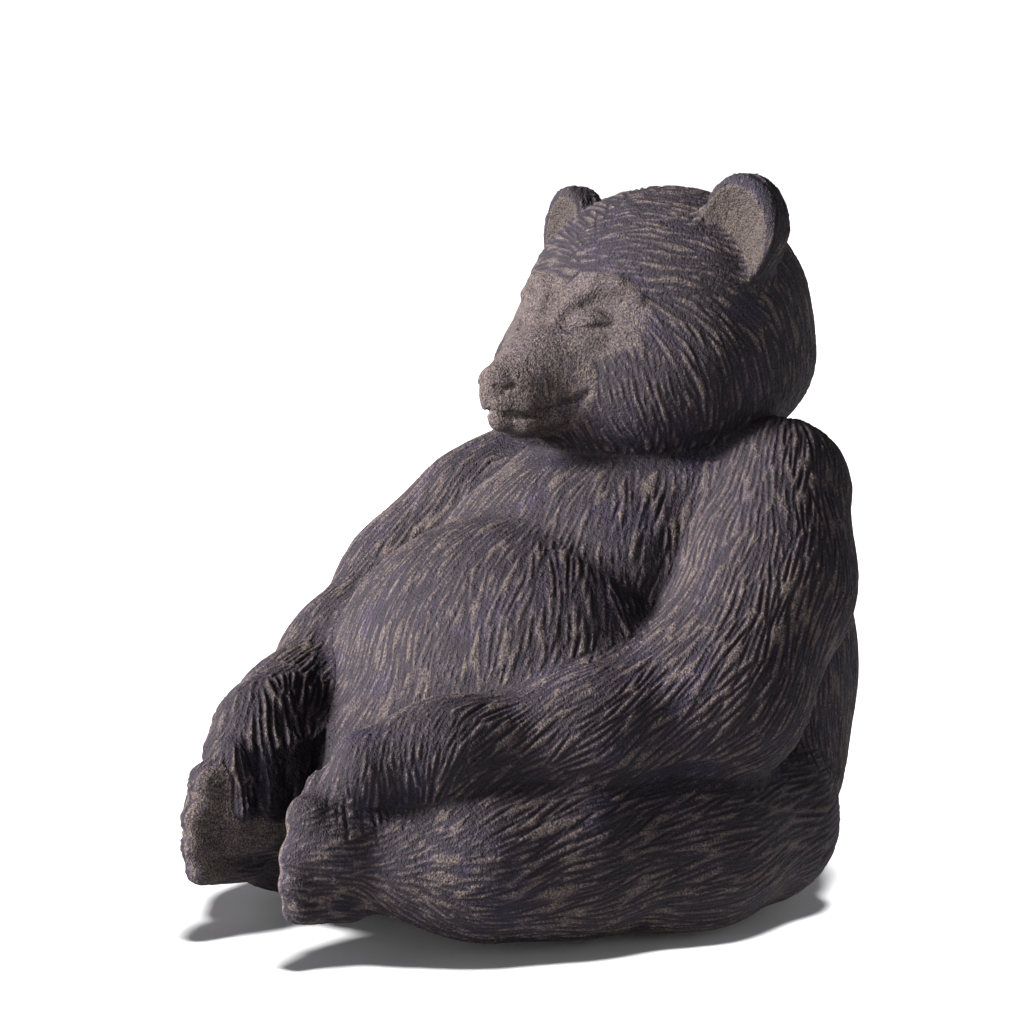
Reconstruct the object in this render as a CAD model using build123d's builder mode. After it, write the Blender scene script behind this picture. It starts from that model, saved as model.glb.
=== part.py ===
"""Seated carved bear, built up from glued and dowelled blocks. Millimetres, +Z up.

The bear faces -Y and its left side is +X. The origin is on the table, under the middle
of the figure. Nothing moves: head, arms and legs are fixed to the torso with dowels
across the creases at the neck, the shoulders and the hips.
"""
import math
import os

from build123d import *

os.makedirs("parts", exist_ok=True)

# ---- overall sizes ------------------------------------------------------------------
FIGURE_WIDTH = 172.0        # elbow to elbow
FIGURE_DEPTH = 212.0        # toe tips to the back
FIGURE_HEIGHT = 211.0       # table to the ear tips

# ---- what fits ----------------------------------------------------------------------
GLUE_GAP = 0.2              # glue line between two carved blocks
DOWEL_GAP = 0.15            # on the radius, and at each end, of a dowel in its hole
ARM_BED = 8.0               # how far an arm beds into the leg and foot under it
NECK_BED = 8.5              # how far the head beds into the top of the torso

LIMB_DOWEL_DIA = 8.0
LIMB_DOWEL_LEN = 26.0
NECK_DOWEL_DIA = 12.0
NECK_DOWEL_LEN = 36.0
DOWEL_WALL = 3.0            # wood left between the neck dowel and the shoulder dowels

# ---- head ---------------------------------------------------------------------------
HEAD_WIDTH = 88.0
HEAD_LENGTH = 86.0
HEAD_TALL = 77.0
HEAD_TOP_DROP = 4.5         # crown of the head below the ear tips
NAPE_INSET = 6.0            # back of the head ahead of the back of the torso
MUZZLE_OUT = 30.0           # nose tip ahead of the forehead
MUZZLE_ROOT_R = 20.0
MUZZLE_DROP = 19.0          # root of the muzzle below the middle of the head
MUZZLE_DIP = 3.0            # nose tip below the root of the muzzle
EAR_WIDTH = 28.0
EAR_TALL = 34.0
EAR_THICK = 13.0
EAR_SPREAD = 37.0           # ear centre from the middle of the head
EAR_DISH = 4.0              # depth of the hollow in the front of an ear

# ---- torso --------------------------------------------------------------------------
TORSO_WIDTH = 126.0
BELLY_OUT = 55.0            # front of the belly ahead of the middle of the figure

# ---- arms ---------------------------------------------------------------------------
SHOULDERS_APART = 91.0
SHOULDER_DROP = 9.5         # shoulder centres below the underside of the head
SHOULDER_R = 23.0
UPPER_ARM_R = 24.0
ELBOW_R = 23.5
ELBOW_FORWARD = 42.0        # elbow ahead of the shoulder
FOREARM_R = 17.5
WRIST_R = 12.5
HAND_R = 12.0
HAND_LENGTH = 20.0
HAND_BACK = 19.0            # hand centre behind the toe tips

# ---- legs and feet ------------------------------------------------------------------
LEG_HALF_WIDTH = 27.0       # at the knee
LEG_HALF_TALL = 25.0
LEG_INSET = 4.5             # knee inside the elbow's overall width
LEG_PLANED = 2.0            # carved flat underneath for the pad
LEG_BACK = 28.0             # rear end of the leg ahead of the figure's back
HIP_BACK = 62.0             # hip dowel ahead of the figure's back
KNEE_BACK = 100.0           # widest point of the leg ahead of the figure's back
FOOT_HALF_WIDTH = 12.5
FOOT_HALF_TALL = 16.0
FOOT_LENGTH = 34.0          # toe tips to the ankle
FOOT_LIFT = 12.0            # underside of the foot above the pad's top
FEET_APART = 24.0           # gap between the soles

# ---- pad ----------------------------------------------------------------------------
PAD_THICK = 2.5             # felt under the seat
PAD_LAP = 19.0              # how far the pad reaches under each leg
PAD_DEPTH = 114.0

# ---- derived places -----------------------------------------------------------------
HALF_W = FIGURE_WIDTH / 2
HALF_D = FIGURE_DEPTH / 2

HEAD_Y = HALF_D - NAPE_INSET - HEAD_LENGTH / 2
HEAD_Z = FIGURE_HEIGHT - HEAD_TOP_DROP - HEAD_TALL / 2
NECK_Z = HEAD_Z - HEAD_TALL / 2          # lowest point of the head block
FOREHEAD_Y = HEAD_Y - HEAD_LENGTH / 2
EAR_Z = FIGURE_HEIGHT - EAR_TALL / 2

KNEE_X = HALF_W - LEG_INSET - LEG_HALF_WIDTH
KNEE_Z = PAD_THICK + LEG_HALF_TALL - LEG_PLANED
LEG_TOP = KNEE_Z + LEG_HALF_TALL
HIP_Y = HALF_D - HIP_BACK
KNEE_Y = HALF_D - KNEE_BACK
ANKLE_Y = -HALF_D + FOOT_LENGTH
FOOT_X = FOOT_HALF_WIDTH + FEET_APART / 2
FOOT_Z = PAD_THICK + FOOT_LIFT + FOOT_HALF_TALL
FOOT_TOP = FOOT_Z + FOOT_HALF_TALL

SHOULDER_X = SHOULDERS_APART / 2
SHOULDER_Y = HEAD_Y + 2.0                # a little behind the middle of the head
SHOULDER_Z = NECK_Z - SHOULDER_DROP
ELBOW_X = HALF_W - ELBOW_R
ELBOW_Y = SHOULDER_Y - ELBOW_FORWARD
ELBOW_Z = LEG_TOP + ELBOW_R - ARM_BED
HAND_X = FOOT_X + 3.0                    # a little outside the middle of the foot
HAND_Y = -HALF_D + HAND_BACK
HAND_Z = FOOT_TOP + HAND_R - ARM_BED
WRIST_X = HAND_X + 0.45 * HAND_LENGTH
WRIST_Y = HAND_Y + HAND_LENGTH
WRIST_Z = FOOT_TOP + WRIST_R - ARM_BED / 4

SHOULDER_FACE_X = SHOULDER_X - SHOULDER_R  # where the arm meets the torso
SHOULDER_DOWEL_Y = HEAD_Y + (NECK_DOWEL_DIA + LIMB_DOWEL_DIA) / 2 + DOWEL_WALL  # behind the neck dowel
HIP_FACE_X = KNEE_X - LEG_HALF_WIDTH       # where the leg meets the torso

TORSO_HEIGHT = NECK_Z + NECK_BED - PAD_THICK
SEAT_FRONT = 0.45 * BELLY_OUT
SEAT_BACK = 0.76 * HALF_D
PAD_Y = (SEAT_BACK - SEAT_FRONT) / 2
PAD_WIDTH = 2 * (HIP_FACE_X + PAD_LAP)

# Torso: share of its height, of its half width, of the belly's reach and of the back's.
TORSO_SECTIONS = (
    (0.00, 0.76, 0.45, 0.76),
    (0.13, 0.91, 0.66, 0.93),
    (0.29, 0.98, 0.87, 0.98),
    (0.49, 1.00, 1.00, 1.00),
    (0.62, 0.98, 0.93, 1.00),
    (0.73, 0.93, 0.70, 0.99),
    (0.82, 0.90, 0.24, 0.97),
    (0.91, 0.82, -0.14, 0.92),
    (1.00, 0.64, -0.28, 0.82),
)

# Muzzle: part of the way from root to tip, and radius as a part of the root radius.
MUZZLE_SECTIONS = ((0.0, 0.85), (0.35, 1.0), (0.62, 0.78), (0.85, 0.55), (0.95, 0.42), (1.0, 0.22))

# Ear: part of the way from front to back, and size as a part of the full outline.
EAR_SECTIONS = ((0.0, 0.90), (0.35, 1.0), (0.70, 0.95), (1.0, 0.72))

# Leg behind and ahead of the knee: part of the way back or forward, share of the knee's
# spread, height added, share of the width and share of the height.
THIGH_SECTIONS = ((1.0, 0.86, 3.0, 0.55, 0.55), (0.82, 0.91, 2.0, 0.84, 0.84), (0.5, 0.97, 1.0, 1.0, 1.0))
SHIN_SECTIONS = ((0.38, 0.92, 0.0, 0.93, 0.96), (0.65, 0.80, 1.0, 0.80, 0.88), (0.88, 0.64, 3.0, 0.60, 0.72))

# Foot: part of the way from ankle to toe tips, and size as a part of the full outline.
FOOT_SECTIONS = ((0.0, 1.0), (0.5, 1.0), (0.82, 0.85), (1.0, 0.52))


def arm_stations():
    """Centre and radius along the left arm, from the shoulder to the fingers."""
    upper = ((SHOULDER_X + 3 * ELBOW_X) / 4, (SHOULDER_Y + ELBOW_Y) / 2, (SHOULDER_Z + ELBOW_Z) / 2)
    forearm = ((ELBOW_X + WRIST_X) / 2 + 5, (ELBOW_Y + WRIST_Y) / 2, LEG_TOP + FOREARM_R - ARM_BED)
    return (
        (SHOULDER_X, SHOULDER_Y, SHOULDER_Z, SHOULDER_R),
        (*upper, UPPER_ARM_R),
        (ELBOW_X, ELBOW_Y, ELBOW_Z, ELBOW_R),
        (*forearm, FOREARM_R),
        (WRIST_X, WRIST_Y, WRIST_Z, WRIST_R),
        (HAND_X, HAND_Y, HAND_Z, HAND_R),
    )


def leg_stations():
    """Y, centre X, centre Z, half width and half height along the left leg to the toes."""
    stations = []
    rear_y = HALF_D - LEG_BACK
    for part, spread, lift, wide, tall in THIGH_SECTIONS:
        y = KNEE_Y + part * (rear_y - KNEE_Y)
        stations.append((y, spread * KNEE_X, KNEE_Z + lift, wide * LEG_HALF_WIDTH, tall * LEG_HALF_TALL))
    stations.append((KNEE_Y, KNEE_X, KNEE_Z, LEG_HALF_WIDTH, LEG_HALF_TALL))
    for part, spread, lift, wide, tall in SHIN_SECTIONS:
        y = KNEE_Y + part * (ANKLE_Y - KNEE_Y)
        stations.append((y, spread * KNEE_X, KNEE_Z + lift, wide * LEG_HALF_WIDTH, tall * LEG_HALF_TALL))
    for part, size in FOOT_SECTIONS:
        y = ANKLE_Y - part * FOOT_LENGTH
        stations.append((y, FOOT_X, FOOT_Z, size * FOOT_HALF_WIDTH, size * FOOT_HALF_TALL))
    return stations


def carve_arm(side, grow=0.0, mode=Mode.ADD):
    """Round limb with domed ends; side is +1 for the bear's left, -1 for its right."""
    stations = []
    for x, y, z, radius in arm_stations():
        stations.append((Vector(side * x, y, z), radius + grow))
    start_dir = (stations[1][0] - stations[0][0]).normalized()
    end_dir = (stations[-1][0] - stations[-2][0]).normalized()
    sections = []
    for angle in (70, 40):
        centre, radius = stations[0]
        back = radius * math.sin(math.radians(angle))
        sections.append((centre - start_dir * back, start_dir, radius * math.cos(math.radians(angle))))
    for index, (centre, radius) in enumerate(stations):
        before = stations[max(index - 1, 0)][0]
        after = stations[min(index + 1, len(stations) - 1)][0]
        sections.append((centre, (after - before).normalized(), radius))
    for angle in (40, 70):
        centre, radius = stations[-1]
        ahead = radius * math.sin(math.radians(angle))
        sections.append((centre + end_dir * ahead, end_dir, radius * math.cos(math.radians(angle))))
    outlines = []
    for centre, direction, radius in sections:
        across = (0, direction.Z, -direction.Y)
        with BuildSketch(Plane(origin=centre, x_dir=across, z_dir=direction)) as outline:
            Circle(radius)
        outlines.append(outline.sketch.face())
    loft(outlines, mode=mode)


def carve_leg(side, grow=0.0, mode=Mode.ADD):
    """Leg lying on its outer side, with the foot standing up at its front."""
    stations = leg_stations()
    first = stations[0]
    last = stations[-1]
    sections = [(first[0] + grow, *first[1:])]
    sections.extend(stations[1:-1])
    sections.append((last[0] - grow, *last[1:]))
    outlines = []
    for y, x, z, half_width, half_tall in sections:
        with BuildSketch(Plane(origin=(side * x, y, z), x_dir=(1, 0, 0), z_dir=(0, -1, 0))) as outline:
            Ellipse(half_width + grow, half_tall + grow)
        outlines.append(outline.sketch.face())
    loft(outlines, ruled=True, mode=mode)


def ellipsoid(centre, radii, mode=Mode.ADD):
    """Egg-shaped block, made from a stretched ball."""
    ball = scale(Sphere(1, mode=Mode.PRIVATE), by=radii, mode=Mode.PRIVATE)
    add(Pos(*centre) * ball, mode=mode)


def carve_head(grow=0.0, mode=Mode.ADD):
    """Skull and muzzle of the head block, without the ears."""
    radii = (HEAD_WIDTH / 2 + grow, HEAD_LENGTH / 2 + grow, HEAD_TALL / 2 + grow)
    ellipsoid((0, HEAD_Y, HEAD_Z), radii, mode=mode)
    root_y = HEAD_Y - 0.28 * HEAD_LENGTH / 2
    tip_y = FOREHEAD_Y - MUZZLE_OUT
    outlines = []
    for part, size in MUZZLE_SECTIONS:
        y = root_y + part * (tip_y - root_y)
        z = HEAD_Z - MUZZLE_DROP - part * MUZZLE_DIP
        with BuildSketch(Plane(origin=(0, y, z), x_dir=(1, 0, 0), z_dir=(0, -1, 0))) as outline:
            Circle(size * MUZZLE_ROOT_R + grow)
        outlines.append(outline.sketch.face())
    loft(outlines, mode=mode)


def trim_flat(z, mode=Mode.SUBTRACT):
    """Plane everything off below height z."""
    with Locations((0, 0, z)):
        Box(
            2 * FIGURE_WIDTH,
            2 * FIGURE_DEPTH,
            FIGURE_HEIGHT,
            align=(Align.CENTER, Align.CENTER, Align.MAX),
            mode=mode,
        )


def limb_dowel(x, y, z, clearance=0.0, mode=Mode.ADD):
    """Dowel across a shoulder or hip crease; with a clearance it is the hole for one."""
    with Locations(Location((x, y, z), (0, 90, 0))):
        Cylinder(LIMB_DOWEL_DIA / 2 + clearance, LIMB_DOWEL_LEN + 2 * clearance, mode=mode)


def neck_dowel_at(clearance=0.0, mode=Mode.ADD):
    """Upright dowel from the torso into the head; with a clearance it is the hole."""
    with Locations((0, HEAD_Y, NECK_Z)):
        Cylinder(NECK_DOWEL_DIA / 2 + clearance, NECK_DOWEL_LEN + 2 * clearance, mode=mode)


# ---- torso --------------------------------------------------------------------------
with BuildPart() as torso:
    for level, wide, front, back in TORSO_SECTIONS:
        front_y = -front * BELLY_OUT
        back_y = back * HALF_D
        with BuildSketch(Plane.XY.offset(PAD_THICK + level * TORSO_HEIGHT)):
            with Locations((0, (front_y + back_y) / 2)):
                Ellipse(wide * TORSO_WIDTH / 2, (back_y - front_y) / 2)
    loft()
    carve_head(grow=GLUE_GAP, mode=Mode.SUBTRACT)
    neck_dowel_at(DOWEL_GAP, mode=Mode.SUBTRACT)
    for side in (1, -1):
        carve_leg(side, grow=GLUE_GAP, mode=Mode.SUBTRACT)
        carve_arm(side, grow=GLUE_GAP, mode=Mode.SUBTRACT)
        limb_dowel(side * SHOULDER_FACE_X, SHOULDER_DOWEL_Y, SHOULDER_Z, DOWEL_GAP, mode=Mode.SUBTRACT)
        limb_dowel(side * HIP_FACE_X, HIP_Y, KNEE_Z, DOWEL_GAP, mode=Mode.SUBTRACT)
torso.part.label = "torso"

# ---- head ---------------------------------------------------------------------------
with BuildPart() as head:
    carve_head()
    for side in (1, -1):
        ear_front = HEAD_Y - EAR_THICK / 2
        for part, size in EAR_SECTIONS:
            y = ear_front + part * EAR_THICK
            with BuildSketch(Plane(origin=(side * EAR_SPREAD, y, EAR_Z), x_dir=(1, 0, 0), z_dir=(0, 1, 0))):
                Ellipse(size * EAR_WIDTH / 2, size * EAR_TALL / 2)
        loft()
        ellipsoid(
            (side * EAR_SPREAD, ear_front, EAR_Z + 0.08 * EAR_TALL),
            (0.32 * EAR_WIDTH, EAR_DISH, 0.32 * EAR_TALL),
            mode=Mode.SUBTRACT,
        )
    neck_dowel_at(DOWEL_GAP, mode=Mode.SUBTRACT)
    for side in (1, -1):
        carve_arm(side, grow=GLUE_GAP, mode=Mode.SUBTRACT)
head.part.label = "head"

# ---- arms ---------------------------------------------------------------------------
with BuildPart() as left_arm:
    carve_arm(1)
    limb_dowel(SHOULDER_FACE_X, SHOULDER_DOWEL_Y, SHOULDER_Z, DOWEL_GAP, mode=Mode.SUBTRACT)
left_arm.part.label = "left_arm"

with BuildPart() as right_arm:
    carve_arm(-1)
    limb_dowel(-SHOULDER_FACE_X, SHOULDER_DOWEL_Y, SHOULDER_Z, DOWEL_GAP, mode=Mode.SUBTRACT)
right_arm.part.label = "right_arm"

# ---- legs ---------------------------------------------------------------------------
with BuildPart() as left_leg:
    carve_leg(1)
    trim_flat(PAD_THICK)
    carve_arm(1, grow=GLUE_GAP, mode=Mode.SUBTRACT)
    limb_dowel(HIP_FACE_X, HIP_Y, KNEE_Z, DOWEL_GAP, mode=Mode.SUBTRACT)
left_leg.part.label = "left_leg"

with BuildPart() as right_leg:
    carve_leg(-1)
    trim_flat(PAD_THICK)
    carve_arm(-1, grow=GLUE_GAP, mode=Mode.SUBTRACT)
    limb_dowel(-HIP_FACE_X, HIP_Y, KNEE_Z, DOWEL_GAP, mode=Mode.SUBTRACT)
right_leg.part.label = "right_leg"

# ---- dowels -------------------------------------------------------------------------
with BuildPart() as neck_dowel:
    neck_dowel_at()
neck_dowel.part.label = "neck_dowel"

with BuildPart() as left_shoulder_dowel:
    limb_dowel(SHOULDER_FACE_X, SHOULDER_DOWEL_Y, SHOULDER_Z)
left_shoulder_dowel.part.label = "left_shoulder_dowel"

with BuildPart() as right_shoulder_dowel:
    limb_dowel(-SHOULDER_FACE_X, SHOULDER_DOWEL_Y, SHOULDER_Z)
right_shoulder_dowel.part.label = "right_shoulder_dowel"

with BuildPart() as left_hip_dowel:
    limb_dowel(HIP_FACE_X, HIP_Y, KNEE_Z)
left_hip_dowel.part.label = "left_hip_dowel"

with BuildPart() as right_hip_dowel:
    limb_dowel(-HIP_FACE_X, HIP_Y, KNEE_Z)
right_hip_dowel.part.label = "right_hip_dowel"

# ---- felt pad -----------------------------------------------------------------------
with BuildPart() as seat_pad:
    with BuildSketch(Plane.XY):
        with Locations((0, PAD_Y)):
            Ellipse(PAD_WIDTH / 2, PAD_DEPTH / 2)
    extrude(amount=PAD_THICK)
seat_pad.part.label = "seat_pad"

for name, piece in (
    ("torso", torso),
    ("head", head),
    ("left_arm", left_arm),
    ("right_arm", right_arm),
    ("left_leg", left_leg),
    ("right_leg", right_leg),
    ("neck_dowel", neck_dowel),
    ("left_shoulder_dowel", left_shoulder_dowel),
    ("right_shoulder_dowel", right_shoulder_dowel),
    ("left_hip_dowel", left_hip_dowel),
    ("right_hip_dowel", right_hip_dowel),
    ("seat_pad", seat_pad),
):
    export_step(piece.part, f"parts/{name}.step")
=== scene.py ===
import math

import bmesh
import bpy
import numpy as np
import openvdb
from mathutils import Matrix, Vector


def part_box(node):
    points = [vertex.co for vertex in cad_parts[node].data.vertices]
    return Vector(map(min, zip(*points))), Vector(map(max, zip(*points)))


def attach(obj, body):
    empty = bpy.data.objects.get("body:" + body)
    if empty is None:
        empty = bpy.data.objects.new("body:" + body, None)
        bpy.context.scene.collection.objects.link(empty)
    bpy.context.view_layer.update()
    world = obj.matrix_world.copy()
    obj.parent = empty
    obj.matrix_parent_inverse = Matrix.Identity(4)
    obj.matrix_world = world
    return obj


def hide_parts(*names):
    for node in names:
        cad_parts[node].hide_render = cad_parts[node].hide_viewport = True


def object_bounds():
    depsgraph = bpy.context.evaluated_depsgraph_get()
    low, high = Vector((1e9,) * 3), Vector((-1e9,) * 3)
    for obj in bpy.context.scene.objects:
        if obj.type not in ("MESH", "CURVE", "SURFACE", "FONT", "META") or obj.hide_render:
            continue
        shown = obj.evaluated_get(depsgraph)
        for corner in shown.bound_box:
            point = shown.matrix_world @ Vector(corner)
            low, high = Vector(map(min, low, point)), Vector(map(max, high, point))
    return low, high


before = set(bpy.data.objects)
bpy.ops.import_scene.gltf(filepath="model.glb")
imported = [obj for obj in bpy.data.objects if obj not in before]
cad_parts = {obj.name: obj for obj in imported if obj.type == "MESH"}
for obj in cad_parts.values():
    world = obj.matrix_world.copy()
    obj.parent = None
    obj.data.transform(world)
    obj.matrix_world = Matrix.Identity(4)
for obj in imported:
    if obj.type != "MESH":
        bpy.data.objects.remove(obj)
cad_low, cad_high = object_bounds()

MM = 0.001
SEED = 11
GRAIN_SEED = 0.0

# ---------------------------------------------------------------- shape of the figure, mm
FLOOR_GAP = 2.5             # underside of the wood above the table


def turned(q, degrees):
    """Points as seen by something turned about Z."""
    c, s = math.cos(math.radians(degrees)), math.sin(math.radians(degrees))
    return np.stack([q[:, 0] * c + q[:, 1] * s, -q[:, 0] * s + q[:, 1] * c, q[:, 2]], 1)


def egg(p, centre, radii, turn=0.0):
    """Signed distance to an egg; turn is about Z, in degrees."""
    q = p - np.asarray(centre, np.float32)
    if turn:
        q = turned(q, turn)
    r = np.asarray(radii, np.float32)
    near = np.sqrt(np.einsum("ij,ij->i", q / r, q / r))
    steep = np.sqrt(np.einsum("ij,ij->i", q / (r * r), q / (r * r))) + 1e-6
    return near * (near - 1) / steep


def taper(p, a, b, ra, rb):
    """Signed distance to a round bar from ball a to ball b."""
    a = np.asarray(a, np.float32)
    ba = np.asarray(b, np.float32) - a
    pa = p - a
    t = np.clip((pa @ ba) / float(ba @ ba), 0, 1)
    gap = pa - t[:, None] * ba
    return np.sqrt(np.einsum("ij,ij->i", gap, gap)) - (ra + (rb - ra) * t)


def blend(a, b, k):
    """Union with a fillet of about k."""
    h = np.maximum(k - np.abs(a - b), 0) / k
    return np.minimum(a, b) - h * h * k * 0.25


def cut(a, b, k):
    """Take b out of a, with a softened edge."""
    return -blend(-a, b, k)


def bar(p, stations, k=3.0):
    """Chain of round bars; each station is x, y, z, radius."""
    d = None
    for one, two in zip(stations[:-1], stations[1:]):
        part = taper(p, one[:3], two[:3], one[3], two[3])
        d = part if d is None else blend(d, part, k)
    return d


def mirrored(stations, side):
    """Stations of the left side, or their mirror images; side is 1 or -1."""
    return [(side * s[0], *s[1:]) for s in stations]


# each station is x, y, z, radius on the figure's left side, from the body outwards
ARM_LEFT = (
    (45, 57, 119, 22), (57, 40, 94, 23), (62, 16, 67, 23),
    (52, -24, 59, 16), (38, -62, 56.5, 11.8), (29, -82, 53.5, 10.6),
)
ARM_RIGHT = (
    (45, 57, 119, 22), (52, 32, 103, 22), (59, 10, 85, 21),
    (50, -24, 66, 18), (35, -56, 57, 14.5), (27, -76, 54, 12.5),
)
TOES = ((-97, 38, 7.0), (-101, 28.5, 5.8), (-102, 21.5, 5.2), (-101, 15.0, 4.8))   # y, z, radius
LEG = ((50, 42, 27, 26), (54, 8, 26, 26), (49, -30, 28, 23), (41, -54, 27.5, 20.5), (32, -71, 28, 16.5))
FOOT_LIFT = {1: 2.5, -1: 6.0}       # soles above the plain layout, left and right
FOOT_IN = {1: 0.0, -1: 3.0}         # how much nearer the middle each foot is
SOLE_X, SOLE_Y = 12.5, -82          # middle of a sole
SOLE_TURN = 0.3                     # how fast a sole leaves the middle towards the toes

# eggs of the torso: middle, radii
BELLY = ((0, -6, 63), (57, 49, 50))
PAUNCH = ((0, -4, 50), (55, 50, 38))
SHOULDERS = ((0, 46, 102), (52, 42, 38))
CHEST = ((0, 16, 96), (46, 30, 30))
BACK_EGG = ((0, 57, 66), (64, 49, 66))
NAPE = ((0, 58, 104), (56, 39, 35))
SEAT = ((0, 46, 36), (68, 48, 35))
LOW_BELLY = ((-4, -44, 44), (30, 26, 23))

# eggs of the head
CRANIUM = ((0, 57, 168), (44, 42, 38.5))
CHEEKS = ((0, 43, 153), (45.5, 37, 22))
JOWLS = ((0, 43, 143.5), (43.5, 36.5, 21))
OCCIPUT = ((0, 64, 153), (40, 36, 23))
NOSE = ((0, -10.2, 150.9), (6.2, 5.2, 5.6))
LIP_GAP = ((0, -7.0, 143.6), (6.0, 5.6, 3.6))

EAR = {1: (36.0, 53, 194), -1: (-35.0, 53, 190)}
EAR_TURN = 14                       # degrees outwards
EAR_DISH = (1.6, -7.6, -2.0)        # middle of the hollow in an ear
MUZZLE = ((0, 26, 157, 20), (0, 8, 152.5, 14), (0, -2, 149.5, 10.5), (0, -6.5, 148.8, 7.2))
CHIN = ((0, 18, 142, 8.5), (0, -2, 140, 5.2))

# lines of the face on its left side: x, y, z, radius before they are drawn on to it
SOCKET = ((14.6, 12, 172.0, 0),)
BROW = (
    (4.6, 8, 169.5, 1.7), (6.6, 10, 176.0, 2.1), (12.0, 14, 180.0, 2.3),
    (18.8, 18, 179.4, 2.2), (23.8, 22, 174.8, 1.8),
)
LID = ((13.6, 12, 169.4, 0),)
BAG = ((13.2, 12, 162.4, 0),)
LIP = ((1.8, -9.8, 146.2, 3.9), (6.2, -5.0, 145.7, 4.0), (9.8, 2.0, 146.2, 3.3))
JAW = ((0, -8.8, 140.9, 3.2), (5.6, -4.0, 140.2, 3.2), (9.5, 4.0, 141.3, 2.6))
MOUTH = (
    (0, -13.5, 143.4, 0.2), (5.0, -9.0, 142.9, 1.1), (10.4, -1.0, 142.9, 1.3),
    (14.2, 6.0, 145.2, 1.4), (17.0, 10.0, 148.4, 0.9),
)
SLIT = ((7.4, 8, 166.0, 0.7), (10.4, 9, 165.2, 1.1), (14.6, 12, 165.6, 1.2), (19.4, 16, 167.6, 0.8))
NOSTRIL = ((3.4, -14.0, 150.4, 0.7), (5.0, -12.4, 149.2, 0.9), (6.6, -9.6, 150.6, 0.7))


def torso_shape(p):
    """Belly, chest, back, shoulders, seat and the low belly between the legs."""
    belly = blend(egg(p, *BELLY), egg(p, *PAUNCH), 8)
    chest = blend(egg(p, *SHOULDERS), egg(p, *CHEST), 10)
    d = blend(belly, chest, 4)
    for part in (BACK_EGG, NAPE, SEAT):
        d = blend(d, egg(p, *part), 10)
    return blend(d, egg(p, *LOW_BELLY), 12)


def in_ear(p, side):
    """Points seen from the middle of an ear, turned with it."""
    return turned(p - np.asarray(EAR[side], np.float32), EAR_TURN * side)


def ear_shape(p, side):
    q = in_ear(p, side)
    narrow = 13.2 + 0.16 * np.minimum(q[:, 2], 0)
    disc = (np.sqrt((q[:, 0] / narrow) ** 2 + (q[:, 2] / 16.5) ** 2) - 1) * 13
    slab = np.abs(q[:, 1]) - 5.8
    d = -blend(-disc, -slab, 4)
    dish = egg(q, (-side * EAR_DISH[0], *EAR_DISH[1:]), (11.4, 5.2, 15.5))
    return cut(d, dish, 1.5)


def skull(p):
    """Head and muzzle before the ears and the face are carved."""
    d = egg(p, *CRANIUM)
    for part, fillet in ((CHEEKS, 10), (JOWLS, 8), (OCCIPUT, 10)):
        d = blend(d, egg(p, *part), fillet)
    d = blend(d, bar(p, MUZZLE), 7)
    return blend(d, bar(p, CHIN), 3.5)


def drawn_on(shape, stations, rise):
    """The stations moved on to a surface, then out from it by rise."""
    p = np.array([s[:3] for s in stations], np.float32)
    for _ in range(6):
        g = np.stack([shape(p + e) - shape(p - e) for e in 0.2 * np.eye(3, dtype=np.float32)], 1) / 0.4
        size = (g * g).sum(1)
        p = p - (shape(p) / size)[:, None] * g
    p = p + rise * g / np.sqrt(size)[:, None]
    return [(*(float(v) for v in q), s[3]) for q, s in zip(p, stations)]


DRAWN = {}                  # lines of the face, worked out once


def drawn(name, side, shape, stations, rise):
    """A line of the face on one side, drawn on to a shape."""
    if (name, side) not in DRAWN:
        DRAWN[name, side] = drawn_on(shape, mirrored(stations, side), rise)
    return DRAWN[name, side]


def head_shape(p):
    """Head with its ears, brows, closed lids, nose, lips and jaw."""
    d = skull(p)
    for side in (1, -1):
        hollow = drawn("socket", side, skull, SOCKET, 4.6)[0]
        d = cut(d, egg(p, hollow[:3], (9.4, 6.4, 7.6), turn=side * 32), 2.2)
        brow = drawn("brow", side, skull, BROW, -0.4)
        d = blend(d, bar(p, brow, 2), 2.2)
        lid = drawn("lid", side, skull, LID, -2.6)[0]
        d = blend(d, egg(p, lid[:3], (6.6, 4.0, 4.2), turn=side * 32), 2.2)
        bag = drawn("bag", side, skull, BAG, -3.2)[0]
        d = blend(d, egg(p, bag[:3], (5.8, 4.4, 3.2), turn=side * 30), 3)
        d = blend(d, ear_shape(p, side), 3.5)
    d = blend(d, egg(p, *NOSE), 1.0)
    d = blend(d, egg(p, *LIP_GAP), 1.5)
    for side in (1, -1):
        d = blend(d, bar(p, mirrored(LIP, side), 2), 2)
        d = blend(d, bar(p, mirrored(JAW, side), 2), 2)
    return d


def face_cuts(p, d):
    """Mouth, closed eyes and nostrils."""
    for side in (1, -1):
        mouth = drawn("mouth", side, head_shape, MOUTH, 0.1)
        d = cut(d, bar(p, mouth, 0.8), 1.2)
        slit = drawn("slit", side, head_shape, SLIT, 0.05)
        d = cut(d, bar(p, slit, 0.5), 0.8)
        nostril = drawn("nostril", side, head_shape, NOSTRIL, 0.0)
        d = cut(d, bar(p, nostril, 0.5), 0.7)
    return d


def sole_at(y, side):
    """How far from the middle a sole is; it turns a little to the front."""
    return SOLE_X - FOOT_IN[side] - SOLE_TURN * (y - SOLE_Y)


def foot_shape(p, side):
    """Foot on its heel, with four toes and a flat sole."""
    lift = FOOT_LIFT[side]
    x = side * (24.5 - FOOT_IN[side])
    d = egg(p, (x, -82, 30 + lift), (12.5, 22, 15.5))
    for y, z, r in TOES:
        d = blend(d, taper(p, (x, y + 16, z + lift), (x - side * 1.5, y, z + lift), r + 1.5, r), 2.2)
    sole = side * p[:, 0] - sole_at(p[:, 1], side)
    return -blend(-d, sole, 2.5)


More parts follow.
